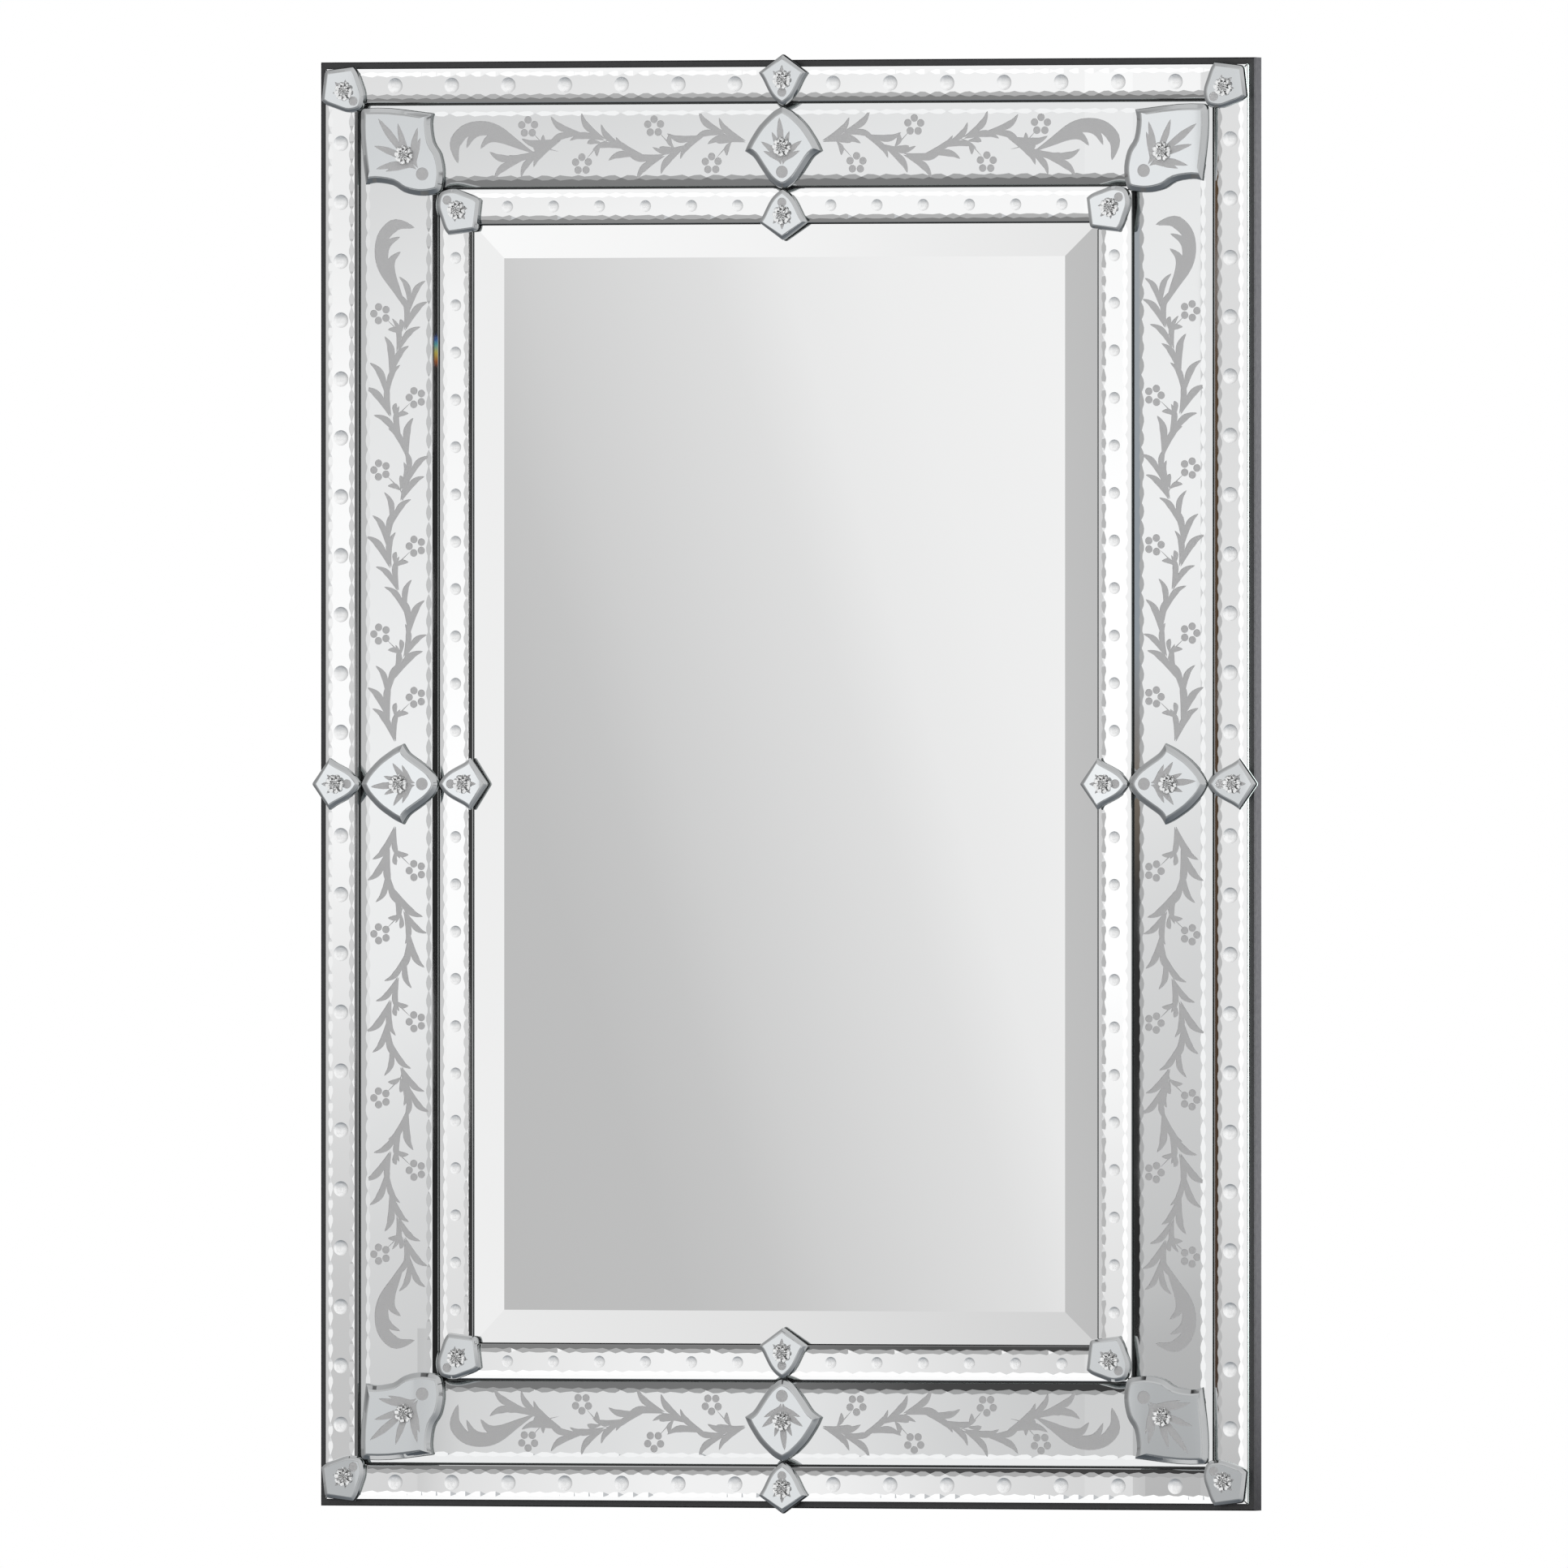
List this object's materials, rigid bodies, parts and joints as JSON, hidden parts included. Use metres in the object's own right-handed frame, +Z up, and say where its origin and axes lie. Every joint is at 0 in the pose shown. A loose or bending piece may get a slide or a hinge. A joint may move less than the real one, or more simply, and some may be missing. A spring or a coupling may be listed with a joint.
{
  "type": "wall mirror",
  "caption": "Tall wall mirror with a black board, rings of bevelled mirror glass, engraved wide strips, cut glass corner plates and medallions, and glass rosettes.",
  "frame": {"origin": "the centre of the board's back face, where it lies against the wall", "axes": "+Z up along the long side, +Y into the wall, the mirror faces -Y, +X to the right seen from the front"},
  "size_m": [0.771, 0.0311, 1.127],
  "materials": {
    "board": "black lacquer over a flat composite board",
    "mirror_glass": "polished silvered glass with a wide bevel",
    "rail_glass": "polished silvered glass, bevelled and notched edges, ground dimples, frosted engraving",
    "plate_glass": "polished silvered glass, bevelled edges, frosted engraving",
    "rosette_glass": "clear pressed glass"
  },
  "bodies": {
    "root": {"backing_board": "board", "centre_mirror": "mirror_glass", "outer_rail_top": "rail_glass", "outer_rail_right": "rail_glass", "outer_rail_bottom": "rail_glass", "outer_rail_left": "rail_glass", "wide_rail_top": "rail_glass", "wide_rail_right": "rail_glass", "wide_rail_bottom": "rail_glass", "wide_rail_left": "rail_glass", "inner_rail_top": "rail_glass", "inner_rail_right": "rail_glass", "inner_rail_bottom": "rail_glass", "inner_rail_left": "rail_glass", "corner_outer_top_right": "plate_glass", "rosette_corner_outer_top_right": "rosette_glass", "corner_outer_bottom_right": "plate_glass", "rosette_corner_outer_bottom_right": "rosette_glass", "corner_outer_bottom_left": "plate_glass", "rosette_corner_outer_bottom_left": "rosette_glass", "corner_outer_top_left": "plate_glass", "rosette_corner_outer_top_left": "rosette_glass", "medallion_outer_top": "plate_glass", "rosette_medallion_outer_top": "rosette_glass", "medallion_outer_right": "plate_glass", "rosette_medallion_outer_right": "rosette_glass", "medallion_outer_bottom": "plate_glass", "rosette_medallion_outer_bottom": "rosette_glass", "medallion_outer_left": "plate_glass", "rosette_medallion_outer_left": "rosette_glass", "corner_large_top_right": "plate_glass", "rosette_corner_large_top_right": "rosette_glass", "corner_large_bottom_right": "plate_glass", "rosette_corner_large_bottom_right": "rosette_glass", "corner_large_bottom_left": "plate_glass", "rosette_corner_large_bottom_left": "rosette_glass", "corner_large_top_left": "plate_glass", "rosette_corner_large_top_left": "rosette_glass", "medallion_large_top": "plate_glass", "rosette_medallion_large_top": "rosette_glass", "medallion_large_right": "plate_glass", "rosette_medallion_large_right": "rosette_glass", "medallion_large_bottom": "plate_glass", "rosette_medallion_large_bottom": "rosette_glass", "medallion_large_left": "plate_glass", "rosette_medallion_large_left": "rosette_glass", "corner_inner_top_right": "plate_glass", "rosette_corner_inner_top_right": "rosette_glass", "corner_inner_bottom_right": "plate_glass", "rosette_corner_inner_bottom_right": "rosette_glass", "corner_inner_bottom_left": "plate_glass", "rosette_corner_inner_bottom_left": "rosette_glass", "corner_inner_top_left": "plate_glass", "rosette_corner_inner_top_left": "rosette_glass", "medallion_inner_top": "plate_glass", "medallion_inner_right": "plate_glass", "medallion_inner_bottom": "plate_glass", "medallion_inner_left": "plate_glass"}
  },
  "joints": []
}
